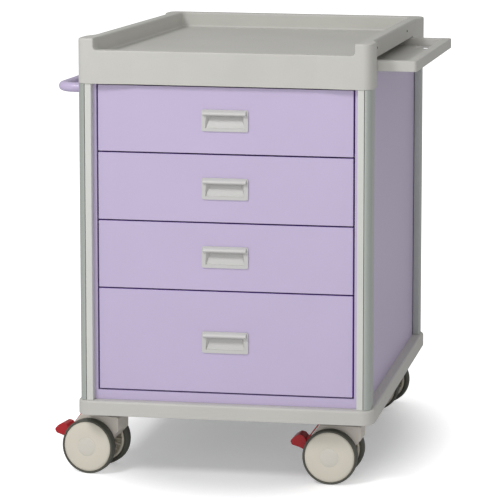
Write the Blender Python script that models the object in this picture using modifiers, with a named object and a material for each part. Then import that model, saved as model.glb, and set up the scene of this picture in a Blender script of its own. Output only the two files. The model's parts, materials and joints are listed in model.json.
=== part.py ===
"""Four-drawer instrument cart with a moulded worktop, a pull-out side shelf, a push handle and twin-wheel casters.

Cabinet coordinates, in metres: X to the right from the cabinet's middle, Y backwards from the drawer fronts,
Z up from the floor. The empty instrument_cart moves them so that the origin is under the middle of the whole cart.
Each body that moves is an empty on its joint's axis, and its pieces are modelled in that empty's own coordinates.
"""

import math

import bmesh
import bpy
from mathutils import Matrix, Vector

GAP = 0.0003            # between pieces that touch
SHEET = 0.0012          # steel sheet

# Worktop and cabinet
CART_HEIGHT = 1.0
TOP_HALF_WIDTH = 0.3313     # over the worktop's corner blocks
TOP_FRONT, TOP_BACK = -0.0175, 0.760
SKIRT_FRONT = -0.0115       # the skirt between the corner blocks
TOP_UNDERSIDE = 0.899       # lower edge of the worktop's skirt
TOP_FLOOR = 0.962           # the worktop's tray surface
TOP_PLATE = 0.9585          # underside of the tray surface
LIP_TOP = 0.9735            # front lip, lower than the guards
GUARD_THICKNESS = 0.025
CORNER_RADIUS = 0.022
BASE_HALF_WIDTH = 0.3372
BASE_FRONT, BASE_BACK = -0.020, 0.762
BASE_BOTTOM, BASE_TOP = 0.1515, 0.185
BASE_WALL = 0.008
CHASSIS_BOTTOM = 0.1745     # the plate inside the base that the casters bolt to
COLUMN_OUTSIDE = 0.3296     # half width over the corner columns
COLUMN_FRONT, COLUMN_BACK = -0.0146, 0.752
COLUMN_FACE = 0.0308        # width of a column's front face
COLUMN_DEPTH = 0.0440       # depth of a column's side face
PANEL_OUTSIDE = 0.3125      # half width over the side panels
PANEL_TOP = 0.929

# Drawers, from the top down; the lowest is half as tall again
DRAWER_TOP = 0.8958
DRAWER_LINES = (0.902, 0.7465, 0.593, 0.4395, 0.2080)
DRAWER_GAP = 0.0034
FRONT_HALF_WIDTH = 0.2876
FRONT_THICKNESS = 0.017
OPENING_HALF_WIDTH = 0.2911
FRAME_DEPTH = 0.0195
TRAY_HALF_WIDTH = 0.262
TRAY_BACK = 0.600
FLANGE_HALF_WIDTH = 0.279
FLANGE_DROP = 0.0008        # side flanges lie this far below the tray's rim
RACK_OUTSIDE = 0.2865

# Recessed pulls
PULL_WIDTH, PULL_HEIGHT = 0.105, 0.0485
CUP_WIDTH, CUP_HEIGHT = 0.094, 0.0375

# Side shelf, drawn part of the way out
SHELF_OUTSIDE = 0.418
SHELF_LENGTH = 0.420
SHELF_FRONT, SHELF_BACK = 0.055, 0.628
SHELF_BOTTOM, SHELF_TOP = 0.9335, 0.9575
SHELF_RIM = 0.022
SHELF_RECESS = 0.018

# Push handle
HANDLE_RADIUS = 0.011
HANDLE_REACH = 0.3965
HANDLE_FRONT, HANDLE_BACK = 0.062, 0.688
HANDLE_HEIGHT = 0.881
HANDLE_BEND = 0.040

# Casters
WHEEL_RADIUS = 0.0625
CASTER_TRAIL = 0.045        # from the swivel axis to the wheels' axle
CASTER_X = 0.2768
CASTER_FRONT, CASTER_BACK = 0.075, 0.690
HOUSING_HALF_WIDTH = 0.026
HOUSING_TOP = 0.130
WHEEL_INSIDE, WHEEL_OUTSIDE = 0.0275, 0.053
AXLE_RADIUS = 0.006
BORE_RADIUS = 0.0061
WHEEL_STEPS = 24
PEDAL_PIVOT = (0.0786, 0.1283)  # along the trail, and up
PEDAL_HALF_WIDTH = 0.017
CASTER_HEADINGS = {"front_left": 170.4, "front_right": 178.3, "rear_left": 176.0, "rear_right": 169.0}

CART_LEFT = -0.41690        # the front left pedal's end
CART_MIDDLE = ((SHELF_OUTSIDE + CART_LEFT) / 2, (BASE_FRONT + BASE_BACK) / 2)


# ---- Blender helpers ----

for old in list(bpy.data.objects):
    bpy.data.objects.remove(old, do_unlink=True)

parts = bpy.data.collections.new("instrument_cart")
cutters = bpy.data.collections.new("cutters")
bpy.context.scene.collection.children.link(parts)
bpy.context.scene.collection.children.link(cutters)


def material(name, colour, roughness, metallic=0.0):
    """A Principled material."""
    made = bpy.data.materials.new(name)
    made.use_nodes = True
    shader = made.node_tree.nodes["Principled BSDF"]
    shader.inputs["Base Color"].default_value = (*colour, 1.0)
    shader.inputs["Roughness"].default_value = roughness
    shader.inputs["Metallic"].default_value = metallic
    return made


def body(name, at, parent=None, turn=0.0):
    """An empty that carries one rigid body: at is its joint's place in its parent's coordinates."""
    empty = bpy.data.objects.new(name, None)
    empty.empty_display_size = 0.03
    parts.objects.link(empty)
    empty.parent = parent
    empty.location = at
    empty.rotation_euler = (0, 0, math.radians(turn))
    return empty


def add(name, mesh, finish, carrier, at=(0, 0, 0), rotation=(0, 0, 0)):
    """Puts a mesh on a body as a piece, or as a cutter when finish is None."""
    piece = bpy.data.objects.new(name, mesh)
    if finish is None:
        cutters.objects.link(piece)
        piece.hide_render = True
        piece.display_type = "WIRE"
    else:
        parts.objects.link(piece)
        if not mesh.materials:
            mesh.materials.append(finish)
    piece.parent = carrier
    piece.location = at
    piece.rotation_euler = rotation
    return piece


def box(name, low, high, finish, carrier):
    """A rectangular block between two corners."""
    low, high = Vector(low), Vector(high)
    shape = bmesh.new()
    bmesh.ops.create_cube(shape, size=1.0)
    bmesh.ops.scale(shape, vec=high - low, verts=shape.verts)
    mesh = bpy.data.meshes.new(name)
    shape.to_mesh(mesh)
    shape.free()
    return add(name, mesh, finish, carrier, (low + high) / 2)


def cylinder(name, radius, low, high, finish, carrier, along="Z"):
    """A round bar whose ends' middles are low and high, which differ only along one axis."""
    low, high = Vector(low), Vector(high)
    shape = bmesh.new()
    bmesh.ops.create_cone(shape, cap_ends=True, segments=WHEEL_STEPS, radius1=radius, radius2=radius,
                          depth=(high - low).length)
    mesh = bpy.data.meshes.new(name)
    shape.to_mesh(mesh)
    shape.free()
    smooth(mesh)
    turn = {"Z": (0, 0, 0), "Y": (math.pi / 2, 0, 0), "X": (0, math.pi / 2, 0)}[along]
    return add(name, mesh, finish, carrier, (low + high) / 2, turn)


def smooth(mesh):
    mesh.shade_smooth()
    mesh.set_sharp_from_angle(angle=math.radians(35))


def rounded(corners, steps=4):
    """A closed outline from (x, y, radius) corners, each rounded by an arc."""
    points = []
    for i, (x, y, radius) in enumerate(corners):
        here = Vector((x, y))
        if radius == 0:
            points.append(here)
            continue
        before = (Vector(corners[i - 1][:2]) - here).normalized()
        after = (Vector(corners[(i + 1) % len(corners)][:2]) - here).normalized()
        half = before.angle(after) / 2
        centre = here + (before + after).normalized() * (radius / math.sin(half))
        start = here + before * (radius / math.tan(half)) - centre
        sweep = (math.pi - 2 * half) * (1 if before.cross(after) < 0 else -1)
        for k in range(steps + 1):
            points.append(centre + Matrix.Rotation(sweep * k / steps, 2) @ start)
    return points


def rectangle(x0, y0, x1, y1, radius=0.0, steps=3):
    """A rectangle's outline, with rounded corners."""
    return rounded([(x0, y0, radius), (x1, y0, radius), (x1, y1, radius), (x0, y1, radius)], steps)


def extruded(name, outlines, low, high, finish, carrier, along="Z"):
    """A flat outline, with any holes, extruded from low to high along Z, or along Y from an XZ outline."""
    curve = bpy.data.curves.new(name, "CURVE")
    curve.dimensions = "2D"
    curve.fill_mode = "BOTH"
    curve.extrude = (high - low) / 2
    for outline in outlines:
        spline = curve.splines.new("POLY")
        spline.points.add(len(outline) - 1)
        for point, place in zip(spline.points, outline):
            point.co = (place[0], place[1], 0, 1)
        spline.use_cyclic_u = True
    middle = (low + high) / 2
    at, turn = ((0, 0, middle), (0, 0, 0)) if along == "Z" else ((0, middle, 0), (math.pi / 2, 0, 0))
    return to_mesh(name, curve, finish, carrier, at, turn)


def to_mesh(name, curve, finish, carrier, at, turn):
    """Makes a curve's evaluated shape a closed mesh piece, and removes the curve."""
    source = bpy.data.objects.new(name + "_curve", curve)
    parts.objects.link(source)
    mesh = bpy.data.meshes.new_from_object(source.evaluated_get(bpy.context.evaluated_depsgraph_get()))
    bpy.data.objects.remove(source, do_unlink=True)
    mesh.name = name
    shape = bmesh.new()
    shape.from_mesh(mesh)
    bmesh.ops.remove_doubles(shape, verts=shape.verts, dist=0.00001)
    shape.to_mesh(mesh)
    shape.free()
    smooth(mesh)
    return add(name, mesh, finish, carrier, at, turn)


def tube(name, points, radius, finish, carrier):
    """A round tube with closed ends along a list of points."""
    curve = bpy.data.curves.new(name, "CURVE")
    curve.dimensions = "3D"
    curve.bevel_depth = radius
    curve.bevel_resolution = 2
    curve.use_fill_caps = True
    spline = curve.splines.new("POLY")
    spline.points.add(len(points) - 1)
    for point, place in zip(spline.points, points):
        point.co = (*place, 1)
    return to_mesh(name, curve, finish, carrier, (0, 0, 0), (0, 0, 0))


def profile_mesh(name, profile, closed=False):
    """A profile of (radius, height) points as edges in the XZ plane."""
    edges = [(i, i + 1) for i in range(len(profile) - 1)]
    if closed:
        edges.append((len(profile) - 1, 0))
    mesh = bpy.data.meshes.new(name)
    mesh.from_pydata([(r, 0, z) for r, z in profile], edges, [])
    return mesh


def turned(name, mesh, finish, carrier, at, rotation):
    """A piece turned about its own Z axis from a profile mesh."""
    piece = add(name, mesh, finish, carrier, at, rotation)
    screw = piece.modifiers.new("turn", "SCREW")
    screw.axis = "Z"
    screw.steps = WHEEL_STEPS
    screw.render_steps = WHEEL_STEPS
    screw.use_merge_vertices = True
    screw.merge_threshold = 0.0001
    screw.use_smooth_shade = True
    return piece


def combine(piece, other, operation):
    """Adds another shape to a piece, or cuts it away."""
    change = piece.modifiers.new(operation.lower(), "BOOLEAN")
    change.operation = operation
    change.solver = "EXACT"
    change.object = other


def cut(piece, *shapes):
    for shape in shapes:
        combine(piece, shape, "DIFFERENCE")


def unite(piece, *shapes):
    for shape in shapes:
        combine(piece, shape, "UNION")


# ---- Materials ----

SHELL = material("shell_plastic", (0.56, 0.55, 0.51), 0.55)
LAVENDER = material("lavender_paint", (0.53, 0.44, 0.66), 0.42)
COLUMN = material("column_finish", (0.60, 0.61, 0.57), 0.45)
PULL = material("pull_plastic", (0.62, 0.61, 0.60), 0.5)
STEEL = material("zinc_steel", (0.55, 0.56, 0.57), 0.38, 1.0)
HOUSING = material("caster_plastic", (0.62, 0.57, 0.50), 0.5)
HUB = material("hub_plastic", (0.66, 0.62, 0.53), 0.45)
TYRE = material("tyre_rubber", (0.075, 0.075, 0.06), 0.75)
RED = material("pedal_red", (0.42, 0.012, 0.018), 0.45)


# ---- Worktop ----

def mirrored(half):
    """A whole outline from its right half, listed front to back."""
    return half + [(-x, y, r) for x, y, r in reversed(half)]


def make_worktop(cart):
    block_back = 0.045      # the front corner block's side face ends here
    inset = TOP_HALF_WIDTH - 0.0125
    outline = rounded(mirrored([
        (0.215, SKIRT_FRONT, 0.03), (0.262, TOP_FRONT, 0.03), (TOP_HALF_WIDTH, TOP_FRONT, CORNER_RADIUS),
        (TOP_HALF_WIDTH, block_back, 0.01), (inset, block_back + 0.035, 0.02),
        (inset, TOP_BACK - block_back - 0.039, 0.02), (TOP_HALF_WIDTH, TOP_BACK - block_back - 0.009, 0.01),
        (TOP_HALF_WIDTH, TOP_BACK, CORNER_RADIUS)]), steps=3)
    top = extruded("worktop", [outline], TOP_UNDERSIDE, CART_HEIGHT, SHELL, cart)
    inside = inset - GUARD_THICKNESS
    tray = extruded("worktop_tray", [rectangle(-inside, 0.012, inside, TOP_BACK - GUARD_THICKNESS, 0.012)],
                    TOP_FLOOR, CART_HEIGHT + 0.01, None, cart)
    lip = extruded("worktop_lip", [rectangle(-0.2925, LIP_TOP, 0.2925, CART_HEIGHT + 0.02, 0.008)],
                   TOP_FRONT - 0.01, 0.03, None, cart, along="Y")
    wide = extruded("worktop_hollow", [rectangle(-inset + 0.0028, 0.0290, inset - 0.0028, 0.7162)],
                    TOP_UNDERSIDE - 0.01, TOP_PLATE, None, cart)
    long = extruded("worktop_long_hollow", [rectangle(-0.280, -0.002, 0.280, TOP_BACK - 0.006)],
                    TOP_UNDERSIDE - 0.01, TOP_PLATE - 0.0005, None, cart)
    doorway = box("worktop_shelf_doorway", (0.300, SHELF_FRONT - 0.002, TOP_UNDERSIDE - 0.01),
                  (0.36, SHELF_BACK + 0.019, TOP_PLATE + GAP), None, cart)
    cut(top, tray, lip, wide, long, doorway)


# ---- Base and cabinet ----

def make_base(cart):
    outline = rectangle(-BASE_HALF_WIDTH, BASE_FRONT, BASE_HALF_WIDTH, BASE_BACK, 0.030, steps=4)
    base = extruded("base_moulding", [outline], BASE_BOTTOM, BASE_TOP, SHELL, cart)
    hollow = extruded("base_hollow", [rectangle(
        -BASE_HALF_WIDTH + BASE_WALL, BASE_FRONT + BASE_WALL, BASE_HALF_WIDTH - BASE_WALL,
        BASE_BACK - BASE_WALL, 0.022, steps=3)], BASE_BOTTOM - 0.01, BASE_TOP - BASE_WALL, None, cart)
    cut(base, hollow)
    box("chassis_plate", (-0.322, 0.005, CHASSIS_BOTTOM), (0.322, 0.745, BASE_TOP - BASE_WALL - GAP), STEEL, cart)


def column_outline(side, front):
    """A corner column's section: a face plate and a deeper side plate, rounded at the outer corner."""
    inner = COLUMN_OUTSIDE - COLUMN_FACE
    groove, depth = COLUMN_OUTSIDE - 0.0158, 0.0015
    corners = [
        (inner, 0, 0.001), (groove - 0.0015, 0, 0), (groove - 0.0015, depth, 0), (groove, depth, 0),
        (groove, 0, 0), (COLUMN_OUTSIDE, 0, 0.0155), (COLUMN_OUTSIDE, COLUMN_DEPTH, 0.003),
        (COLUMN_OUTSIDE - 0.016, COLUMN_DEPTH, 0), (COLUMN_OUTSIDE - 0.016, COLUMN_DEPTH - depth, 0),
        (COLUMN_OUTSIDE - 0.0175, COLUMN_DEPTH - depth, 0), (COLUMN_OUTSIDE - 0.0175, COLUMN_DEPTH, 0),
        (COLUMN_OUTSIDE - 0.024, COLUMN_DEPTH, 0), (COLUMN_OUTSIDE - 0.024, 0.019, 0), (inner, 0.019, 0)]
    bore = [(COLUMN_OUTSIDE - 0.021, 0.004, 0), (COLUMN_OUTSIDE - 0.007, 0.005, 0.003),
            (COLUMN_OUTSIDE - 0.003, 0.012, 0.003), (COLUMN_OUTSIDE - 0.003, COLUMN_DEPTH - 0.005, 0),
            (COLUMN_OUTSIDE - 0.021, COLUMN_DEPTH - 0.005, 0)]
    start, way = (COLUMN_FRONT, 1) if front else (COLUMN_BACK, -1)
    return [[(side * x, start + way * y) for x, y in rounded(section, steps=5)] for section in (corners, bore)]


def pan(name, low, high, open_side, finish, cart):
    """A sheet panel with edges folded inwards: a shallow block, hollowed from the side that opens."""
    panel = box(name, low, high, finish, cart)
    low, high = list(low), list(high)
    axis, end = open_side
    for i in range(3):
        if i != axis:
            low[i] += SHEET
            high[i] -= SHEET
    if end > 0:
        low[axis] += SHEET
        high[axis] += 0.01
    else:
        high[axis] -= SHEET
        low[axis] -= 0.01
    cut(panel, box(name + "_hollow", low, high, None, cart))


def make_cabinet(cart):
    bottom = BASE_TOP + GAP
    for front in (True, False):
        for side in (-1, 1):
            name = "column_%s_%s" % ("front" if front else "rear", "left" if side < 0 else "right")
            extruded(name, column_outline(side, front), bottom, TOP_UNDERSIDE - GAP, COLUMN, cart)
    fold = 0.012
    near, far = COLUMN_FRONT + COLUMN_DEPTH + GAP, COLUMN_BACK - COLUMN_DEPTH - GAP
    pan("side_panel_left", (-PANEL_OUTSIDE, near, bottom), (-PANEL_OUTSIDE + fold, far, PANEL_TOP), (0, 1),
        LAVENDER, cart)
    pan("side_panel_right", (PANEL_OUTSIDE - fold, near, bottom), (PANEL_OUTSIDE, far, PANEL_TOP), (0, -1),
        LAVENDER, cart)
    half = COLUMN_OUTSIDE - 0.024 - GAP
    back = COLUMN_BACK - 0.019 - GAP
    pan("back_panel", (-half, back - fold, bottom), (half, back, TOP_UNDERSIDE - GAP), (1, -1), LAVENDER, cart)
    face = COLUMN_OUTSIDE - COLUMN_FACE - GAP
    frame = box("front_frame", (-face, 0, bottom), (face, FRAME_DEPTH, TOP_UNDERSIDE - GAP), LAVENDER, cart)
    opening = box("front_opening", (-OPENING_HALF_WIDTH, -0.01, DRAWER_LINES[-1] - DRAWER_GAP / 2),
                  (OPENING_HALF_WIDTH, FRAME_DEPTH + 0.01, TOP_UNDERSIDE + 0.01), None, cart)
    cut(frame, opening)


def drawer_limits(index):
    """The lower and upper edge of a drawer's front."""
    low = DRAWER_LINES[index] + DRAWER_GAP / 2
    return low, min(DRAWER_LINES[index - 1] - DRAWER_GAP / 2, DRAWER_TOP)


def tray_limits(index):
    low, high = drawer_limits(index)
    return low + 0.010, high - 0.028


def make_racks(cart):
    """Each side's upright with a ledge under every drawer's side flange."""
    for side in (-1, 1):
        def across(x0, x1):
            return sorted((side * x0, side * x1))
        x0, x1 = across(RACK_OUTSIDE - SHEET, RACK_OUTSIDE)
        rack = box("runner_rack_" + ("left" if side < 0 else "right"), (x0, FRAME_DEPTH + 0.001, 0.2070), (x1, 0.700, 0.885),
                   STEEL, cart)
        for index in range(1, 5):
            top = tray_limits(index)[1] - FLANGE_DROP - SHEET - 0.0006
            x0, x1 = across(TRAY_HALF_WIDTH + 0.004, RACK_OUTSIDE - 0.001)
            unite(rack, box("ledge", (x0, 0.0335, top - 0.004), (x1, 0.700, top), None, cart))


def make_shelf_guides(cart):
    """Channels under the worktop that carry the side shelf's front and back edges."""
    for name, edge, way in (("front", SHELF_FRONT, -1), ("rear", SHELF_BACK, 1)):
        y0, y1 = sorted((edge + way * 0.0008, edge + way * 0.004))
        guide = box("shelf_guide_" + name, (-0.020, y0, SHELF_BOTTOM - 0.006), (0.296, y1, TOP_PLATE - GAP),
                    STEEL, cart)
        y0, y1 = sorted((edge + way * 0.003, edge - way * 0.014))
        unite(guide, box("guide_ledge", (-0.020, y0, SHELF_BOTTOM - 0.006), (0.296, y1, SHELF_BOTTOM - 0.0006),
                         None, cart))


def make_handle(cart):
    """The bent tube on the left, from the side panel's front to its back."""
    wall = -PANEL_OUTSIDE - GAP
    quarter = [math.radians(90 * k / 6) for k in range(7)]
    near = [(-HANDLE_REACH + HANDLE_BEND * (1 - math.sin(a)), HANDLE_FRONT + HANDLE_BEND * (1 - math.cos(a)))
            for a in quarter]
    far = [(x, HANDLE_FRONT + HANDLE_BACK - y) for x, y in reversed(near)]
    route = [(wall, HANDLE_FRONT)] + near + far + [(wall, HANDLE_BACK)]
    tube("push_handle", [(x, y, HANDLE_HEIGHT) for x, y in route], HANDLE_RADIUS, LAVENDER, cart)


# ---- Drawers ----

def make_pull(name, drawer):
    """A recessed pull: a rim on the drawer front, a cup behind it and a finger lip above."""
    pull = box(name, (-PULL_WIDTH / 2, -0.0028, -PULL_HEIGHT / 2), (PULL_WIDTH / 2, -GAP, PULL_HEIGHT / 2),
               PULL, drawer)
    cup = box("cup", (-CUP_WIDTH / 2, -0.001, -CUP_HEIGHT / 2), (CUP_WIDTH / 2, FRONT_THICKNESS - 0.001, CUP_HEIGHT / 2),
              None, drawer)
    lip = box("lip", (-0.046, -0.0095, 0.0100), (0.046, 0.001, 0.0135), None, drawer)
    brow = box("brow", (-0.046, -0.0095, 0.0100), (0.046, -0.001, 0.0175), None, drawer)
    recess = box("recess", (-0.0435, -0.004, -0.0150), (0.0435, FRONT_THICKNESS - 0.0035, 0.0150), None, drawer)
    unite(pull, cup)
    cut(pull, recess)
    unite(pull, lip, brow)


def make_drawer(index, cart):
    low, high = drawer_limits(index)
    middle = (low + high) / 2
    drawer = body("drawer_%d" % index, (0, 0, middle), cart)
    name = "drawer_%d_" % index
    front = box(name + "front", (-FRONT_HALF_WIDTH, 0, low - middle),
                (FRONT_HALF_WIDTH, FRONT_THICKNESS, high - middle), LAVENDER, drawer)
    hole = box("pull_hole", (-CUP_WIDTH / 2 - GAP, -0.01, -CUP_HEIGHT / 2 - GAP),
               (CUP_WIDTH / 2 + GAP, 0.03, CUP_HEIGHT / 2 + GAP), None, drawer)
    hollow = box("front_hollow", (-FRONT_HALF_WIDTH + SHEET, SHEET, low - middle + SHEET),
                 (FRONT_HALF_WIDTH - SHEET, FRONT_THICKNESS + 0.01, high - middle - SHEET), None, drawer)
    cut(front, hole, hollow)
    make_pull(name + "pull", drawer)
    bottom, top = (z - middle for z in tray_limits(index))
    face = FRONT_THICKNESS + GAP
    tray = box(name + "tray", (-TRAY_HALF_WIDTH, face, bottom), (TRAY_HALF_WIDTH, TRAY_BACK, top), STEEL, drawer)
    flange = box("flange", (-FLANGE_HALF_WIDTH, 0.036, top - FLANGE_DROP - SHEET),
                 (FLANGE_HALF_WIDTH, TRAY_BACK - 0.001, top - FLANGE_DROP), None, drawer)
    inside = box("inside", (-TRAY_HALF_WIDTH + SHEET, face + SHEET, bottom + SHEET),
                 (TRAY_HALF_WIDTH - SHEET, TRAY_BACK - SHEET, top + 0.01), None, drawer)
    unite(tray, flange)
    cut(tray, inside)


# ---- Side shelf ----

def make_shelf(cart):
    """A rimmed tray that slides out to the right from under the worktop."""
    middle = (SHELF_FRONT + SHELF_BACK) / 2
    shelf_body = body("side_shelf_slide", (SHELF_OUTSIDE, middle, SHELF_BOTTOM), cart)
    half = (SHELF_BACK - SHELF_FRONT) / 2
    shelf = extruded("side_shelf", [rounded([
        (-SHELF_LENGTH, -half, 0), (0, -half, 0.008), (0, half, 0.008), (-SHELF_LENGTH, half, 0)], steps=3)],
        0, SHELF_TOP - SHELF_BOTTOM, SHELL, shelf_body)
    height = SHELF_TOP - SHELF_BOTTOM
    recess = extruded("shelf_recess", [rectangle(
        -SHELF_LENGTH + SHELF_RIM, -half + SHELF_RIM, -SHELF_RIM, half - SHELF_RIM, 0.006)],
        height - SHELF_RECESS, height + 0.01, None, shelf_body)
    slot = extruded("hand_slot", [rectangle(-SHELF_RIM - 0.060, half - SHELF_RIM - 0.075,
                                            -SHELF_RIM - 0.0005, half - SHELF_RIM - 0.0005, 0.018, steps=4)],
                    -0.01, height, None, shelf_body)
    cut(shelf, recess, slot)


# ---- Casters ----

def hub_profile():
    """From the middle of the outer face, over the rim and the inner side, to the end of the blind bore."""
    out, inside = WHEEL_OUTSIDE, WHEEL_INSIDE
    return [(0, out), (0.0210, out - 0.0004), (0.0215, out - 0.0016), (0.0460, out - 0.0022),
            (0.0562, out - 0.0040), (0.0562, out - 0.0065), (0.0522, out - 0.0070), (0.0517, inside + 0.001),
            (0.0507, inside), (BORE_RADIUS, inside), (BORE_RADIUS, out - 0.006), (0, out - 0.006)]


def tyre_profile():
    """A ring round the hub with a slightly crowned tread."""
    out, inside = WHEEL_OUTSIDE, WHEEL_INSIDE
    return [(0.0565, out - 0.0036), (0.0605, out - 0.0040), (WHEEL_RADIUS, out - 0.0075),
            (WHEEL_RADIUS, inside + 0.0045), (0.0605, inside + 0.0005), (0.0525, inside + 0.0005),
            (0.0526, out - 0.0073), (0.0565, out - 0.0068)]


def make_housing(name, fork):
    """The moulded block between the wheels; its rear slope carries the pedal's arm."""
    outline = rounded([
        (-0.020, HOUSING_TOP, 0.006), (-0.020, 0.100, 0.003), (0.026, 0.052, 0), (0.036, 0.044, 0.006),
        (0.056, 0.044, 0.008), (0.1005, 0.0895, 0.004), (0.0725, HOUSING_TOP - 0.003, 0.003)], steps=3)
    housing = extruded(name, [outline], -HOUSING_HALF_WIDTH, HOUSING_HALF_WIDTH, HOUSING, fork, along="Y")
    cut(housing, cylinder("axle_bore", BORE_RADIUS, (CASTER_TRAIL, -0.04, WHEEL_RADIUS),
                          (CASTER_TRAIL, 0.04, WHEEL_RADIUS), None, fork, along="Y"))


def make_pedal(place, fork):
    """The red brake pedal: a thin arm that rests on the housing's slope, and a saddle-shaped foot."""
    x, z = PEDAL_PIVOT
    carrier = body("pedal_" + place, (x, 0, z), fork)
    side_view = rounded([(t - x, up - z, radius) for t, up, radius in (
        (0.0772, 0.1326, 0.0015), (0.0748, 0.1292, 0.0015), (0.1026, 0.0913, 0), (0.1030, 0.0740, 0.003),
        (0.1090, 0.0700, 0.003), (0.1210, 0.0745, 0.004), (0.1370, 0.0805, 0.004), (0.1400, 0.0880, 0.005),
        (0.1330, 0.0960, 0.008), (0.1215, 0.1025, 0.006), (0.1120, 0.1005, 0.003), (0.1075, 0.0945, 0.002),
        (0.0815, 0.1297, 0.0015))], steps=3)
    extruded("brake_pedal_" + place, [side_view], -PEDAL_HALF_WIDTH, PEDAL_HALF_WIDTH, RED, carrier, along="Y")


def make_caster(place, hub_mesh, tyre_mesh, cart):
    side = -1 if place.endswith("left") else 1
    y = CASTER_FRONT if place.startswith("front") else CASTER_BACK
    plate_top = CHASSIS_BOTTOM - GAP
    plate = box("caster_plate_" + place, (side * CASTER_X - 0.040, y - 0.035, plate_top - 0.005),
                (side * CASTER_X + 0.040, y + 0.035, plate_top), STEEL, cart)
    unite(plate, cylinder("stem", 0.023, (side * CASTER_X, y, HOUSING_TOP + 0.0006),
                          (side * CASTER_X, y, plate_top - 0.003), None, cart))
    fork = body("caster_" + place, (side * CASTER_X, y, 0), cart, CASTER_HEADINGS[place])
    name = "caster_" + place + "_"
    make_housing(name + "housing", fork)
    cylinder(name + "axle", AXLE_RADIUS, (CASTER_TRAIL, 0.0065 - WHEEL_OUTSIDE, WHEEL_RADIUS),
             (CASTER_TRAIL, WHEEL_OUTSIDE - 0.0065, WHEEL_RADIUS), STEEL, fork, along="Y")
    for which, way in (("near", 1), ("far", -1)):
        wheel = body("wheel_%s_%s" % (place, which), (CASTER_TRAIL, 0, WHEEL_RADIUS), fork)
        turn = (-way * math.pi / 2, 0, 0)
        turned(name + "hub_" + which, hub_mesh, HUB, wheel, (0, 0, 0), turn)
        turned(name + "tyre_" + which, tyre_mesh, TYRE, wheel, (0, 0, 0), turn)
    if place.startswith("front"):
        make_pedal(place, fork)


def main():
    cart = body("instrument_cart_origin", (-CART_MIDDLE[0], -CART_MIDDLE[1], 0))
    make_worktop(cart)
    make_base(cart)
    make_cabinet(cart)
    make_racks(cart)
    make_shelf_guides(cart)
    make_handle(cart)
    for index in range(1, 5):
        make_drawer(index, cart)
    make_shelf(cart)
    hub_mesh = profile_mesh("hub", hub_profile())
    tyre_mesh = profile_mesh("tyre", tyre_profile(), closed=True)
    for place in CASTER_HEADINGS:
        make_caster(place, hub_mesh, tyre_mesh, cart)


main()
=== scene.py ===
"""Looks for the instrument cart: detailed shells, casters and pulls over the fixed CAD frame, with studio light."""

import json
import math

import bmesh
import bpy
from mathutils import Matrix, Vector


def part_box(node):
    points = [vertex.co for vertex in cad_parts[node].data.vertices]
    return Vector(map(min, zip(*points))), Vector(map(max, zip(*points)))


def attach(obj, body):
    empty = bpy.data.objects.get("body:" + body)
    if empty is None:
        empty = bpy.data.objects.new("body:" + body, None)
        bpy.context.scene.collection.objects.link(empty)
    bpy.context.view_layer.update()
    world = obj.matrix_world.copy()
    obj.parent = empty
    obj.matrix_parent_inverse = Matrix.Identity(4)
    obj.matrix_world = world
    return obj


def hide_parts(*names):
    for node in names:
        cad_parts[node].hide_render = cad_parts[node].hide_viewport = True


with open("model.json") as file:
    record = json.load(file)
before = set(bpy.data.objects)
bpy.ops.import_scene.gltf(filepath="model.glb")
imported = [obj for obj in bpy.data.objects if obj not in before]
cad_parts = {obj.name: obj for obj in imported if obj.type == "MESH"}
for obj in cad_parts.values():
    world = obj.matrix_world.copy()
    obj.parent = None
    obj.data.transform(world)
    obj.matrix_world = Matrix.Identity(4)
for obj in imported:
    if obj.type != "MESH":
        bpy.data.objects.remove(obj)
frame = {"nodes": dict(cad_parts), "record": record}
nodes = frame["nodes"]
joints = {joint["name"]: joint for joint in frame["record"]["behaviour"]["joints"]}
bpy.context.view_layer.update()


# ---- Places and sizes, from the frame ----

def corners_of(node):
    """The lowest and the highest corner of a CAD node's box."""
    return [Vector(corner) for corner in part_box(node)]


BASE_LOW, BASE_HIGH = corners_of("base_moulding")
TOP_LOW, TOP_HIGH = corners_of("worktop")
FRONT_LOW = corners_of("drawer_1_front")[0]
SHELF_LOW, SHELF_HIGH = corners_of("side_shelf")
PANEL_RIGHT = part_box("side_panel_right")[1][0]

# The cabinet's own origin: X in its middle, Y on the drawers' faces, Z on the floor
ORIGIN = Vector(((BASE_LOW.x + BASE_HIGH.x) / 2, FRONT_LOW.y, 0))

TOP_HALF = (TOP_HIGH.x - TOP_LOW.x) / 2
TOP_FRONT, TOP_BACK = TOP_LOW.y - ORIGIN.y, TOP_HIGH.y - ORIGIN.y
TOP_UNDERSIDE, TOP_Z = TOP_LOW.z, TOP_HIGH.z
SKIRT_FRONT = -0.0115       # the skirt between the corner blocks
TOP_FLOOR = 0.962           # the worktop's tray surface
TOP_PLATE = 0.9585          # underside of the tray surface
LIP_TOP = 0.9735            # front lip, lower than the guards
GUARD = 0.025               # the guards' thickness
INSET = TOP_HALF - 0.0125   # half width over the guards, between the corner blocks
COLUMN_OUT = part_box("column_front_right")[1][0] - ORIGIN.x
COLUMN_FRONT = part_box("column_front_right")[0][1] - ORIGIN.y
COLUMN_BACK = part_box("column_rear_right")[1][1] - ORIGIN.y
COLUMN_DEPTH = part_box("column_front_right")[1][1] - ORIGIN.y - COLUMN_FRONT
GAP = 0.0003                # between pieces that touch
SAME_LEVEL = 0.0003         # an edge this near a level counts as on it
CORNERS = ("front_left", "front_right", "rear_left", "rear_right")


# ---- Materials ----

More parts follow.
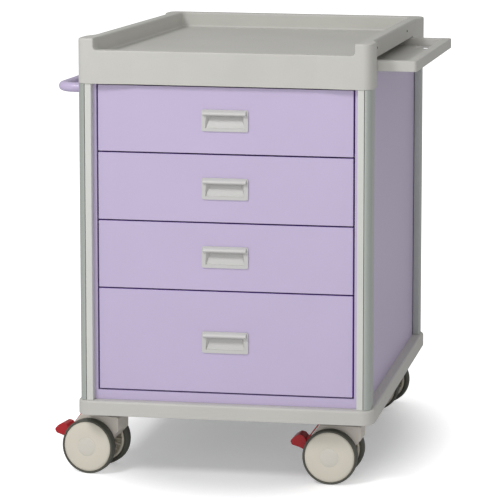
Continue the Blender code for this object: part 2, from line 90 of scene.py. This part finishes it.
def surface(name, colour, roughness, metallic=0.0, grain=900.0, depth=0.00004, mottle=0.03, stretch=(1, 1, 1),
            coat=0.0, speck=0.04):
    """A procedural finish: fine grain in its bump, cloudy variation in its colour and roughness."""
    made = bpy.data.materials.new(name)
    made.use_nodes = True
    tree = made.node_tree
    shader = tree.nodes["Principled BSDF"]
    shader.inputs["Metallic"].default_value = metallic
    shader.inputs["Coat Weight"].default_value = coat
    shader.inputs["Coat Roughness"].default_value = 0.12

    place = tree.nodes.new("ShaderNodeTexCoord")
    scale = tree.nodes.new("ShaderNodeMapping")
    scale.inputs["Scale"].default_value = stretch
    tree.links.new(place.outputs["Object"], scale.inputs["Vector"])

    fine = tree.nodes.new("ShaderNodeTexNoise")
    fine.inputs["Scale"].default_value = grain
    fine.inputs["Detail"].default_value = 3.0
    tree.links.new(scale.outputs["Vector"], fine.inputs["Vector"])
    bump = tree.nodes.new("ShaderNodeBump")
    bump.inputs["Strength"].default_value = 0.5
    bump.inputs["Distance"].default_value = depth
    tree.links.new(fine.outputs["Fac"], bump.inputs["Height"])
    tree.links.new(bump.outputs["Normal"], shader.inputs["Normal"])

    cloud = tree.nodes.new("ShaderNodeTexNoise")
    cloud.inputs["Scale"].default_value = 7.0
    cloud.inputs["Detail"].default_value = 4.0
    tree.links.new(place.outputs["Object"], cloud.inputs["Vector"])
    tone = tree.nodes.new("ShaderNodeMapRange")
    tone.inputs["From Min"].default_value = 0.3
    tone.inputs["From Max"].default_value = 0.7
    tone.inputs["To Min"].default_value = 1.0 - mottle
    tone.inputs["To Max"].default_value = 1.0 + mottle
    tree.links.new(cloud.outputs["Fac"], tone.inputs["Value"])
    dots = tree.nodes.new("ShaderNodeMapRange")
    dots.inputs["To Min"].default_value = 1.0 - speck
    dots.inputs["To Max"].default_value = 1.0 + speck
    tree.links.new(fine.outputs["Fac"], dots.inputs["Value"])
    shade = tree.nodes.new("ShaderNodeMath")
    shade.operation = "MULTIPLY"
    tree.links.new(tone.outputs["Result"], shade.inputs[0])
    tree.links.new(dots.outputs["Result"], shade.inputs[1])
    tint = tree.nodes.new("ShaderNodeVectorMath")
    tint.operation = "SCALE"
    tint.inputs[0].default_value = colour
    tree.links.new(shade.outputs["Value"], tint.inputs["Scale"])
    tree.links.new(tint.outputs["Vector"], shader.inputs["Base Color"])

    rough = tree.nodes.new("ShaderNodeMapRange")
    rough.inputs["To Min"].default_value = roughness - 0.05
    rough.inputs["To Max"].default_value = roughness + 0.05
    tree.links.new(cloud.outputs["Fac"], rough.inputs["Value"])
    tree.links.new(rough.outputs["Result"], shader.inputs["Roughness"])
    return made


SHELL = surface("moulded_shell", (0.565, 0.558, 0.520), 0.50, grain=1400, depth=0.00003)
LAVENDER = surface("lavender_powder_coat", (0.555, 0.475, 0.680), 0.40, grain=700, depth=0.00003, mottle=0.015,
                   coat=0.15)
# Deeper, more saturated lavender for the drawer fronts' edge faces: painted shade that darkens the gaps between the
# drawers to purple
LAVENDER_PAINTED_GAP_SHADE = surface("lavender_painted_gap_shade", (0.36, 0.22, 0.62), 0.45, grain=700, mottle=0.02)
TRIM = surface("anodised_trim", (0.44, 0.47, 0.44), 0.36, metallic=0.35, grain=2200, stretch=(1, 1, 0.01),
               mottle=0.02)
STRIP = surface("pale_cover_strip", (0.66, 0.665, 0.63), 0.42, grain=1500)
PULL = surface("pull_plastic", (0.58, 0.575, 0.56), 0.40, grain=1600, depth=0.00002)
STEEL = surface("zinc_steel", (0.52, 0.53, 0.54), 0.38, metallic=0.9, grain=1600, stretch=(0.02, 1, 1),
                mottle=0.06)
CASTER = surface("caster_nylon", (0.68, 0.63, 0.56), 0.42, grain=1100, mottle=0.02)
HUB = surface("hub_plastic", (0.70, 0.66, 0.56), 0.38, grain=1100, mottle=0.015, coat=0.1)
CAP = surface("hub_cap_plastic", (0.68, 0.65, 0.58), 0.36, grain=1100, mottle=0.015, coat=0.1)
TYRE = surface("tyre_rubber", (0.085, 0.085, 0.068), 0.62, grain=500, depth=0.00008, mottle=0.08, speck=0.15)
RED = surface("pedal_red", (0.46, 0.006, 0.012), 0.34, grain=900, mottle=0.06)
DARK = surface("screw_black", (0.05, 0.045, 0.04), 0.45, metallic=0.6, grain=1200)


# ---- Mesh helpers ----

SHARP = math.radians(32)            # faces that meet at more than this have a sharp edge
TURNED_SHARP = math.radians(38)     # the same on turned pieces


def linked(name, data):
    """A new object of some data, in the scene."""
    piece = bpy.data.objects.new(name, data)
    bpy.context.scene.collection.objects.link(piece)
    return piece


def applied_mesh(piece):
    """A new mesh of a piece with its modifiers applied."""
    return bpy.data.meshes.new_from_object(piece.evaluated_get(bpy.context.evaluated_depsgraph_get()))


def copy_of(piece):
    shape = bmesh.new()
    shape.from_mesh(piece.data)
    return shape


def rounded(corners, steps=8):
    """A closed outline from (x, y, radius) corners, each rounded by an arc."""
    points = []
    for i, (x, y, radius) in enumerate(corners):
        here = Vector((x, y))
        if radius == 0:
            points.append(here)
            continue
        before = (Vector(corners[i - 1][:2]) - here).normalized()
        after = (Vector(corners[(i + 1) % len(corners)][:2]) - here).normalized()
        half = before.angle(after) / 2
        centre = here + (before + after).normalized() * (radius / math.sin(half))
        start = here + before * (radius / math.tan(half)) - centre
        sweep = (math.pi - 2 * half) * (1 if before.cross(after) < 0 else -1)
        for k in range(steps + 1):
            points.append(centre + Matrix.Rotation(sweep * k / steps, 2) @ start)
    return points


def rectangle(x0, y0, x1, y1, radius=0.0, steps=8):
    return rounded([(x0, y0, radius), (x1, y0, radius), (x1, y1, radius), (x0, y1, radius)], steps)


def new_object(name, shape, finish, at=ORIGIN, turn=0.0):
    """Makes an object of a bmesh, turned about Z and moved to a place in the frame."""
    mesh = bpy.data.meshes.new(name)
    bmesh.ops.recalc_face_normals(shape, faces=shape.faces)
    shape.to_mesh(mesh)
    shape.free()
    mesh.shade_smooth()
    mesh.set_sharp_from_angle(angle=SHARP)
    if finish:
        mesh.materials.append(finish)
    piece = linked(name, mesh)
    piece.matrix_world = Matrix.Translation(at) @ Matrix.Rotation(turn, 4, "Z")
    return piece


def prism(outline, low, high, along="Z"):
    """A bmesh of an outline extruded along Z, or of an XZ outline extruded along Y."""
    shape = bmesh.new()
    ring = [shape.verts.new((x, y, low) if along == "Z" else (x, low, y)) for x, y in outline]
    face = shape.faces.new(ring)
    grown = bmesh.ops.extrude_face_region(shape, geom=[face])
    shift = Vector((0, 0, high - low)) if along == "Z" else Vector((0, high - low, 0))
    bmesh.ops.translate(shape, vec=shift, verts=[v for v in grown["geom"] if isinstance(v, bmesh.types.BMVert)])
    return shape


def hull(points):
    """A bmesh of the convex solid round some points."""
    shape = bmesh.new()
    for point in points:
        shape.verts.new(point)
    made = bmesh.ops.convex_hull(shape, input=shape.verts)
    bmesh.ops.delete(shape, geom=made["geom_interior"], context="VERTS")
    bmesh.ops.dissolve_limit(shape, angle_limit=math.radians(1), verts=shape.verts, edges=shape.edges)
    return shape


def block(low, high):
    shape = bmesh.new()
    bmesh.ops.create_cube(shape, size=1.0)
    low, high = Vector(low), Vector(high)
    bmesh.ops.scale(shape, vec=high - low, verts=shape.verts)
    bmesh.ops.translate(shape, vec=(low + high) / 2, verts=shape.verts)
    return shape


def carved(name, shape, finish, cuts=(), unions=(), at=ORIGIN, turn=0.0):
    """A piece with bmesh shapes cut out of it, then others added, with the result applied."""
    piece = new_object(name, shape, finish, at, turn)
    tools = []
    for operation, others in (("DIFFERENCE", cuts), ("UNION", unions)):
        for other in others:
            tool = new_object(name + "_tool", other, finish, at, turn)
            change = piece.modifiers.new("carve", "BOOLEAN")
            change.operation = operation
            change.solver = "EXACT"
            change.object = tool
            tools.append(tool)
    result = applied_mesh(piece)
    piece.modifiers.clear()
    piece.data = result
    result.name = name
    for tool in tools:
        bpy.data.objects.remove(tool, do_unlink=True)
    tidy = bmesh.new()
    tidy.from_mesh(result)
    bmesh.ops.remove_doubles(tidy, verts=tidy.verts, dist=0.00002)
    bmesh.ops.dissolve_limit(tidy, angle_limit=math.radians(0.5), verts=tidy.verts, edges=tidy.edges)
    tidy.to_mesh(result)
    tidy.free()
    return piece


def soften(piece, width, segments=3):
    """Rounds a piece's edges."""
    bevel = piece.modifiers.new("round edges", "BEVEL")
    bevel.width = width
    bevel.segments = segments
    bevel.limit_method = "ANGLE"
    bevel.angle_limit = SHARP
    bevel.use_clamp_overlap = True
    bevel.harden_normals = True
    piece.data.shade_smooth()


def soften_by(piece, widths, largest, segments=4):
    """Rounds each sharp edge by the width that widths(edge middle, edge direction) gives for it."""
    shape = bmesh.new()
    shape.from_mesh(piece.data)
    layer = shape.edges.layers.float.new("bevel_weight_edge")
    for edge in shape.edges:
        if len(edge.link_faces) == 2 and edge.calc_face_angle(0) > SHARP:
            middle = (edge.verts[0].co + edge.verts[1].co) / 2
            direction = (edge.verts[1].co - edge.verts[0].co).normalized()
            edge[layer] = widths(middle, direction) / largest
    shape.to_mesh(piece.data)
    shape.free()
    bevel = piece.modifiers.new("round edges", "BEVEL")
    bevel.width = largest
    bevel.segments = segments
    bevel.limit_method = "WEIGHT"
    bevel.use_clamp_overlap = False
    bevel.harden_normals = True
    piece.data.shade_smooth()


def turned(name, profile, finish, at, axis_turn, steps=96, closed=False):
    """A piece turned about an axle: profile points are (radius, distance along the axle)."""
    edges = [(i, i + 1) for i in range(len(profile) - 1)]
    if closed:
        edges.append((len(profile) - 1, 0))
    mesh = bpy.data.meshes.new(name)
    mesh.from_pydata([(r, 0, a) for r, a in profile], edges, [])
    mesh.materials.append(finish)
    piece = linked(name, mesh)
    piece.matrix_world = Matrix.Translation(at) @ axis_turn
    screw = piece.modifiers.new("turn", "SCREW")
    screw.steps = steps
    screw.render_steps = steps
    screw.use_merge_vertices = True
    screw.merge_threshold = 0.00005
    screw.use_smooth_shade = True
    result = applied_mesh(piece)
    piece.modifiers.clear()
    piece.data = result
    result.shade_smooth()
    result.set_sharp_from_angle(angle=TURNED_SHARP)
    return piece


def wear(piece, body, slot, *replaced):
    """The piece rides on a body and stands for CAD nodes, which it hides. Its slot argument is not used."""
    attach(piece, body)
    if replaced:
        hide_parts(*replaced)
    return piece


# ---- Worktop ----

def mirrored(half):
    return half + [(-x, y, r) for x, y, r in reversed(half)]


def make_worktop():
    """The moulded top: skirt with corner blocks, guards on three sides, a low front lip and a tray."""
    outline = rounded(mirrored([
        (0.205, SKIRT_FRONT, 0.09), (0.270, TOP_FRONT, 0.09), (TOP_HALF, TOP_FRONT, 0.022), (TOP_HALF, 0.045, 0.025),
        (INSET, 0.080, 0.035), (INSET, TOP_BACK - 0.084, 0.035), (TOP_HALF, TOP_BACK - 0.054, 0.025),
        (TOP_HALF, TOP_BACK, 0.022)]), steps=7)
    inside = INSET - GUARD
    tray = prism(rectangle(-inside, 0.012, inside, TOP_BACK - GUARD, 0.014), TOP_FLOOR, TOP_Z + 0.01)
    lip = prism(rectangle(-0.2925, LIP_TOP, 0.2925, TOP_Z + 0.02, 0.008, steps=5), TOP_FRONT - 0.01, 0.03, "Y")
    wide = prism(rectangle(-INSET + 0.0028, 0.0290, INSET - 0.0028, 0.7162), TOP_UNDERSIDE - 0.01, TOP_PLATE)
    long = prism(rectangle(-0.280, -0.002, 0.280, TOP_BACK - 0.006), TOP_UNDERSIDE - 0.01, TOP_PLATE - 0.0005)
    doorway = block((0.300, SHELF_LOW.y - ORIGIN.y - 0.002, TOP_UNDERSIDE - 0.01),
                    (0.36, SHELF_HIGH.y - ORIGIN.y + 0.019, TOP_PLATE + 0.0003))
    top = carved("worktop_moulding", prism(outline, TOP_UNDERSIDE, TOP_Z), SHELL,
                 cuts=[tray, lip, wide, long, doorway])
    cove = 0.0055

    def width(middle, direction):
        if middle.z > TOP_Z - SAME_LEVEL:
            return 0.0045
        if middle.z > LIP_TOP - SAME_LEVEL and middle.y < 0.03:
            return 0.0030
        if middle.z > TOP_FLOOR - SAME_LEVEL and abs(direction.z) < 0.5:
            return cove
        if middle.z < TOP_UNDERSIDE + SAME_LEVEL:
            return 0.0010
        return 0.0003

    soften_by(top, width, cove)
    wear(top, "cabinet", "shell", "worktop")


def make_wall_screws():
    """Two small screws in the worktop's right-hand side."""
    for number, y in enumerate((0.115, 0.545)):
        profile = [(0, 0.0014), (0.0018, 0.0013), (0.0028, 0.0007), (0.0030, 0), (0.0030, -0.0006), (0, -0.0006)]
        screw = turned("side_screw_%d" % (number + 1), profile, DARK, ORIGIN + Vector((INSET, y, 0.980)),
                       Matrix.Rotation(math.pi / 2, 4, "Y"), steps=32)
        wear(screw, "cabinet", "steel")


# ---- Base and cabinet ----

def make_base():
    """The moulded base with a broad rounded upper edge."""
    low, high = BASE_LOW - ORIGIN, BASE_HIGH - ORIGIN
    outline = rectangle(low.x, low.y, high.x, high.y, 0.030, steps=10)
    wall, broad = 0.008, 0.0060
    hollow = prism(rectangle(low.x + wall, low.y + wall, high.x - wall, high.y - wall, 0.022), low.z - 0.01,
                   high.z - wall)
    base = carved("base_shell", prism(outline, low.z, high.z), SHELL, cuts=[hollow])

    def width(middle, direction):
        if middle.z > high.z - SAME_LEVEL:
            return broad
        return 0.0018 if middle.z < low.z + SAME_LEVEL else 0.0003

    soften_by(base, width, broad, segments=5)
    wear(base, "cabinet", "shell", "base_moulding")


def make_columns():
    """Each corner: a rounded anodised trim outside a pale cover strip."""
    low, high = (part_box("column_front_right")[end][2] for end in (0, 1))
    out, deep = COLUMN_OUT, COLUMN_DEPTH
    trim = [(out - 0.0153, 0, 0.0008), (out, 0, 0.0145), (out, deep, 0.0025), (out - 0.0160, deep, 0.0008),
            (out - 0.0160, deep - 0.0035, 0), (out - 0.0030, deep - 0.0035, 0), (out - 0.0030, 0.0030, 0.0115),
            (out - 0.0153, 0.0030, 0)]
    strip = [(out - 0.0308, 0, 0.0012), (out - 0.0163, 0, 0.0012), (out - 0.0163, 0.0040, 0),
             (out - 0.0175, 0.0050, 0), (out - 0.0175, deep, 0.0012), (out - 0.0240, deep, 0.0012),
             (out - 0.0240, 0.0190, 0), (out - 0.0308, 0.0190, 0)]
    for place in CORNERS:
        side = -1 if place.endswith("left") else 1
        start, way = (COLUMN_FRONT, 1) if place.startswith("front") else (COLUMN_BACK, -1)
        for kind, section, finish in (("trim", trim, TRIM), ("strip", strip, STRIP)):
            outline = [(side * x, start + way * y) for x, y in rounded(section, steps=10)]
            piece = new_object("column_%s_%s" % (kind, place), prism(outline, low, high), finish)
            wear(piece, "cabinet", "column", "column_" + place)


def make_handle():
    """The bent tube on the left."""
    radius, bend = 0.011, 0.040
    reach = ORIGIN.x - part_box("push_handle")[0][0] - radius
    near, far, height = 0.062, 0.688, 0.881
    wall = -(PANEL_RIGHT - ORIGIN.x) - GAP
    corner = [math.radians(90 * k / 16) for k in range(17)]
    front = [(-reach + bend * (1 - math.sin(a)), near + bend * (1 - math.cos(a))) for a in corner]
    route = [(wall, near)] + front + [(x, near + far - y) for x, y in reversed(front)] + [(wall, far)]
    curve = bpy.data.curves.new("push_handle_tube", "CURVE")
    curve.dimensions = "3D"
    curve.bevel_depth = radius
    curve.bevel_resolution = 7
    curve.use_fill_caps = True
    spline = curve.splines.new("POLY")
    spline.points.add(len(route) - 1)
    for point, (x, y) in zip(spline.points, route):
        point.co = (x, y, height, 1)
    source = linked("handle_route", curve)
    mesh = applied_mesh(source)
    bpy.data.objects.remove(source, do_unlink=True)
    shape = bmesh.new()
    shape.from_mesh(mesh)
    bmesh.ops.remove_doubles(shape, verts=shape.verts, dist=0.00001)
    handle = new_object("push_handle_tube", shape, LAVENDER)
    wear(handle, "cabinet", "lavender", "push_handle")


# ---- Drawers ----

def make_drawer(index):
    """A folded-edge front with a recessed pull: a rim, a scoop that deepens upwards, and a hood over it."""
    body = "drawer_%d" % index
    low, high = (Vector(corner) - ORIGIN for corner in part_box(body + "_front"))
    middle = Vector((0, 0, (low.z + high.z) / 2))
    at = ORIGIN + middle
    hole = block((-0.0473, low.y - 0.01, -0.01905), (0.0473, high.y + 0.01, 0.01905))
    front = carved(body + "_face", block(low - middle, high - middle), LAVENDER, cuts=[hole], at=at)
    # The front's edge faces take the darker lavender: painted shade in the gaps round each drawer
    front.data.materials.append(LAVENDER_PAINTED_GAP_SHADE)
    for face in front.data.polygons:
        if abs(face.normal.y) < 0.5:
            face.material_index = 1
    soften(front, 0.0013)
    wear(front, body, "lavender", body + "_front")

    rim = prism(rectangle(-0.0525, -0.02425, 0.0525, 0.02425, 0.0045, steps=6), -0.0028, -GAP, "Y")
    cup = block((-0.0470, -0.001, -0.01875), (0.0470, 0.0160, 0.01875))
    scoop = hull([(x, y, z) for half, y, z in (
        (0.0440, -0.006, -0.0175), (0.0440, -0.006, 0.0115), (0.0435, 0.0002, -0.0168),
        (0.0330, 0.0095, 0.0115)) for x, y, z in ((-half, y, z), (half, y, z))])
    nose = [(-0.0105 + 0.003 + 0.003 * math.sin(a), 0.0150 + 0.003 * math.cos(a))
            for a in (math.radians(d) for d in range(-150, 1, 30))]
    hood_side = [(-0.0010, 0.0232), (-0.0032, 0.0228), (-0.0060, 0.0212)] + nose[::-1] + [(-0.0070, 0.0112),
                                                                                        (-0.0010, 0.0112)]
    hood = hull([(x, y, z) for y, z in hood_side for x in (-0.0485, 0.0485)])
    rimmed = carved(body + "_rim", rim, PULL, unions=[cup], at=at)
    pull = carved(body + "_recessed_pull", copy_of(rimmed), PULL, cuts=[scoop], unions=[hood], at=at)
    bpy.data.objects.remove(rimmed, do_unlink=True)
    soften(pull, 0.0007)
    wear(pull, body, "pull", body + "_pull")


# ---- Side shelf ----

def make_shelf():
    """The pull-out shelf: a rimmed tray with a hand slot beside its rear rail."""
    low, high = SHELF_LOW - ORIGIN, SHELF_HIGH - ORIGIN
    rim, recess, upper_edge = 0.022, 0.018, 0.0030
    outline = rounded([(low.x, low.y, 0), (high.x, low.y, 0.008), (high.x, high.y, 0.008), (low.x, high.y, 0)])
    tray = prism(rectangle(low.x + rim, low.y + rim, high.x - rim, high.y - rim, 0.006), high.z - recess,
                 high.z + 0.01)
    slot = prism(rectangle(high.x - rim - 0.060, high.y - rim - 0.075, high.x - rim - 0.003,
                           high.y - rim - 0.004, 0.016), low.z - 0.01, high.z)
    shelf = carved("shelf_moulding", prism(outline, low.z, high.z), SHELL, cuts=[tray, slot])

    def width(middle, direction):
        if middle.z > high.z - SAME_LEVEL:
            return upper_edge
        return 0.0012 if middle.z < low.z + SAME_LEVEL else 0.0008

    soften_by(shelf, width, upper_edge)
    wear(shelf, "side_shelf", "shell", "side_shelf")


# ---- Casters ----

HUB_PROFILE = [
    (0.0205, 0.0508), (0.0226, 0.0513), (0.0240, 0.0515), (0.0400, 0.0509), (0.0510, 0.0496), (0.0553, 0.0484),
    (0.0572, 0.0468), (0.0574, 0.0455), (0.0550, 0.0450), (0.0535, 0.0440), (0.0533, 0.0290), (0.0528, 0.0278),
    (0.0518, 0.0275), (0.0490, 0.0275), (0.0480, 0.0282), (0.0468, 0.0415), (0.0145, 0.0415), (0.0140, 0.0278),
    (0.0136, 0.0275), (0.0062, 0.0275), (0.0062, 0.0470), (0, 0.0470)]
CAP_PROFILE = [(0, 0.0538), (0.0080, 0.0535), (0.0140, 0.0530), (0.0185, 0.0522), (0.0208, 0.0515),
               (0.0218, 0.0508), (0.0218, 0.0500), (0, 0.0500)]
TYRE_PROFILE = [
    (0.0577, 0.0490), (0.0588, 0.0495), (0.0602, 0.0492), (0.0615, 0.0484), (0.0623, 0.0466), (0.0625, 0.0440),
    (0.0625, 0.0340), (0.0623, 0.0312), (0.0616, 0.0292), (0.0604, 0.0282), (0.0570, 0.0280), (0.0542, 0.0281),
    (0.0540, 0.0440), (0.0552, 0.0448), (0.0576, 0.0453)]


def make_wheel(place, which, fork_turn):
    """A domed hub with its centre cap and ribbed inner side, and a smooth tyre."""
    joint = joints["wheel_%s_%s_spin" % (place, which)]
    body = joint["child"]
    centre = Vector(joint["pos_m"])
    way = 1 if which == "near" else -1
    turn = fork_turn @ Matrix.Rotation(-way * math.pi / 2, 4, "X")
    name = "caster_%s_%s_" % (place, which)
    hub_node, tyre_node = ("caster_%s_%s_%s" % (place, kind, which) for kind in ("hub", "tyre"))
    hub = turned(name + "wheel_disc", HUB_PROFILE, HUB, centre, turn)
    shape = copy_of(hub)
    for k in range(20):
        rib = block((0.0140, -0.0008, 0.0300), (0.0475, 0.0008, 0.0420))
        bmesh.ops.rotate(rib, matrix=Matrix.Rotation(math.tau * k / 20, 3, "Z"), verts=rib.verts)
        mesh = bpy.data.meshes.new("rib")
        rib.to_mesh(mesh)
        rib.free()
        shape.from_mesh(mesh)
    shape.to_mesh(hub.data)
    shape.free()
    hub.data.shade_smooth()
    hub.data.set_sharp_from_angle(angle=TURNED_SHARP)
    wear(hub, body, "hub", hub_node)
    wear(turned(name + "centre_cap", CAP_PROFILE, CAP, centre, turn), body, "hub", hub_node)
    wear(turned(name + "tread", TYRE_PROFILE, TYRE, centre, turn, closed=True), body, "tyre", tyre_node)


def make_fork(place, at, heading):
    """The moulded block between a caster's wheels."""
    outline = rounded([
        (-0.0215, 0.130, 0.006), (-0.0215, 0.098, 0.003), (0.026, 0.051, 0), (0.036, 0.044, 0.006),
        (0.056, 0.044, 0.008), (0.0975, 0.0965, 0.004), (0.0740, 0.1277, 0.002), (0.0710, 0.130, 0.001)], steps=6)
    half = 0.026
    fork = carved("caster_%s_fork" % place, prism(outline, -half, half, "Y"), CASTER, at=at, turn=heading)
    soften(fork, 0.0022)
    wear(fork, "caster_" + place, "caster", "caster_%s_housing" % place)


def make_pedal(place, at, heading):
    """A red brake pedal: an arm down the back of the fork and a saddle-shaped foot."""
    arm = prism(rounded([
        (0.0752, 0.1308, 0.0008), (0.0750, 0.1290, 0.0005), (0.0992, 0.0966, 0), (0.1040, 0.0800, 0.002),
        (0.1150, 0.0850, 0.002), (0.1014, 0.0980, 0.002), (0.0772, 0.1306, 0.0008)]), -0.012, 0.012, "Y")
    outline = rounded([
        (0.1030, 0.0740, 0.003), (0.1080, 0.0680, 0.004), (0.1210, 0.0740, 0.005), (0.1385, 0.0790, 0.006),
        (0.1425, 0.0875, 0.005), (0.1345, 0.0965, 0.010), (0.1235, 0.1032, 0.006), (0.1135, 0.1010, 0.004),
        (0.1070, 0.0930, 0.003)], steps=6)
    half = 0.0175
    pedal = carved("pedal_%s_foot" % place, prism(outline, -half, half, "Y"), RED, unions=[arm], at=at,
                   turn=heading)
    soften(pedal, 0.0022, segments=4)
    wear(pedal, "pedal_" + place, "pedal", "brake_pedal_" + place)


def make_caster(place):
    """One caster, turned to the heading that its wheels' axle gives."""
    swivel = Vector(joints["caster_%s_swivel" % place]["pos_m"])
    axis = Vector(joints["wheel_%s_near_spin" % place]["axis"])
    fork_turn = Matrix.Rotation(math.atan2(-axis.x, axis.y), 4, "Z")
    at = Vector((swivel.x, swivel.y, 0))
    heading = fork_turn.to_euler().z
    make_fork(place, at, heading)
    for which in ("near", "far"):
        make_wheel(place, which, fork_turn)
    if place.startswith("front"):
        make_pedal(place, at, heading)


# ---- CAD nodes that stay ----

def finish_cad_nodes():
    """Gives every CAD node the finish of its material slot."""
    finishes = {"lavender": LAVENDER, "steel": STEEL, "column": STRIP, "shell": SHELL, "pull": PULL,
                "caster": CASTER, "hub": HUB, "tyre": TYRE, "pedal": RED}
    for part in frame["record"]["subparts"]:
        piece = nodes[part["node"]]
        for slot in piece.material_slots:
            slot.material = finishes[part["material_slot"]]
        if not piece.material_slots:
            piece.data.materials.append(finishes[part["material_slot"]])


# ---- Stage ----

def add_light(name, towards, distance, size, energy):
    """A round soft light that shines on the cart's middle."""
    light = bpy.data.lights.new(name, "AREA")
    light.shape = "DISK"
    light.size = size
    light.energy = energy
    lamp = linked(name, light)
    towards = Vector(towards).normalized()
    lamp.location = Vector((0, 0, 0.6)) + towards * distance
    lamp.rotation_euler = towards.to_track_quat("Z", "Y").to_euler()


def make_floor():
    """A pale floor that glows to the camera, weakly in an ellipse round the cart and fully further out: its far
    parts come out white, and a painted shadow lies under the cart.
    """
    shape = bmesh.new()
    bmesh.ops.create_grid(shape, x_segments=1, y_segments=1, size=30.0)
    floor = new_object("floor", shape, None, at=Vector((0, 0, 0)))
    finish = bpy.data.materials.new("floor_white_painted_shadow")
    finish.use_nodes = True
    tree = finish.node_tree
    shader = tree.nodes["Principled BSDF"]
    shader.inputs["Base Color"].default_value = (0.86, 0.86, 0.865, 1)
    shader.inputs["Roughness"].default_value = 0.9
    shader.inputs["Specular IOR Level"].default_value = 0.1
    shader.inputs["Emission Color"].default_value = (1, 1, 1, 1)
    place = tree.nodes.new("ShaderNodeTexCoord")
    distance = tree.nodes.new("ShaderNodeVectorMath")
    distance.operation = "LENGTH"
    painted_shadow_ellipse = tree.nodes.new("ShaderNodeMapping")
    painted_shadow_ellipse.inputs["Scale"].default_value = (1 / 0.37, 1 / 0.45, 1)
    tree.links.new(place.outputs["Object"], painted_shadow_ellipse.inputs["Vector"])
    tree.links.new(painted_shadow_ellipse.outputs["Vector"], distance.inputs[0])
    # Painted shadow: the glow is weakest inside an ellipse the size of the cart's footprint, darkening the floor
    # under the cart on top of its rendered shadow
    glow_outside_painted_shadow = tree.nodes.new("ShaderNodeMapRange")
    glow_outside_painted_shadow.interpolation_type = "SMOOTHSTEP"
    glow_outside_painted_shadow.inputs["From Min"].default_value = 0.75
    glow_outside_painted_shadow.inputs["From Max"].default_value = 1.5
    glow_outside_painted_shadow.inputs["To Min"].default_value = 0.24
    glow_outside_painted_shadow.inputs["To Max"].default_value = 0.85
    tree.links.new(distance.outputs["Value"], glow_outside_painted_shadow.inputs["Value"])
    seen = tree.nodes.new("ShaderNodeLightPath")
    shine = tree.nodes.new("ShaderNodeMath")
    shine.operation = "MULTIPLY"
    tree.links.new(glow_outside_painted_shadow.outputs["Result"], shine.inputs[0])
    tree.links.new(seen.outputs["Is Camera Ray"], shine.inputs[1])
    tree.links.new(shine.outputs["Value"], shader.inputs["Emission Strength"])
    floor.data.materials.append(finish)


def make_surroundings():
    """White surroundings, brighter to the camera than the light they give."""
    world = bpy.data.worlds.new("studio")
    bpy.context.scene.world = world
    world.use_nodes = True
    tree = world.node_tree
    ambient = tree.nodes["Background"]
    ambient.inputs["Color"].default_value = (1.0, 1.0, 1.0, 1)
    ambient.inputs["Strength"].default_value = 0.47
    seen = tree.nodes.new("ShaderNodeBackground")
    seen.inputs["Strength"].default_value = 1.05
    path = tree.nodes.new("ShaderNodeLightPath")
    mix = tree.nodes.new("ShaderNodeMixShader")
    tree.links.new(path.outputs["Is Camera Ray"], mix.inputs["Fac"])
    tree.links.new(ambient.outputs["Background"], mix.inputs[1])
    tree.links.new(seen.outputs["Background"], mix.inputs[2])
    tree.links.new(mix.outputs["Shader"], tree.nodes["World Output"].inputs["Surface"])


def make_stage():
    """The floor, the surroundings, a soft light from the front left and a broad one from the front."""
    make_floor()
    make_surroundings()
    add_light("key", (-0.33, -0.66, 0.62), 3.6, 0.9, 46.0)
    add_light("fill", (0.10, -1.0, 0.22), 5.0, 3.2, 34.0)

    view = bpy.context.scene.view_settings
    view.view_transform = "Standard"
    view.look = "None"


def make_camera():
    """The viewpoint: to the right of the front, looking slightly down.

    The shift is larger than the framing needs. Views from other angles keep it and show the cart far off centre.
    """
    place = ORIGIN + Vector((1.0919, -4.3846, 1.4243))
    yaw, pitch, roll = 0.0995, 0.0934, 0.01216
    forward = Vector((-math.sin(yaw) * math.cos(pitch), math.cos(yaw) * math.cos(pitch), -math.sin(pitch)))
    level = Vector((math.cos(yaw), math.sin(yaw), 0))
    raised = level.cross(forward)
    right = level * math.cos(roll) + raised * math.sin(roll)
    up = raised * math.cos(roll) - level * math.sin(roll)
    camera = bpy.data.cameras.new("camera")
    camera.sensor_width = 36.0
    camera.lens = 147.19
    camera.shift_x = -0.5423
    camera.shift_y = -0.4169
    camera.clip_end = 100.0
    camera_object = linked("camera", camera)
    turn = Matrix((right, up, -forward)).transposed().to_4x4()
    camera_object.matrix_world = Matrix.Translation(place) @ turn
    bpy.context.scene.camera = camera_object


finish_cad_nodes()
make_worktop()
make_wall_screws()
make_base()
make_columns()
make_handle()
for index in range(1, 5):
    make_drawer(index)
make_shelf()
for place in CORNERS:
    make_caster(place)
make_stage()
make_camera()
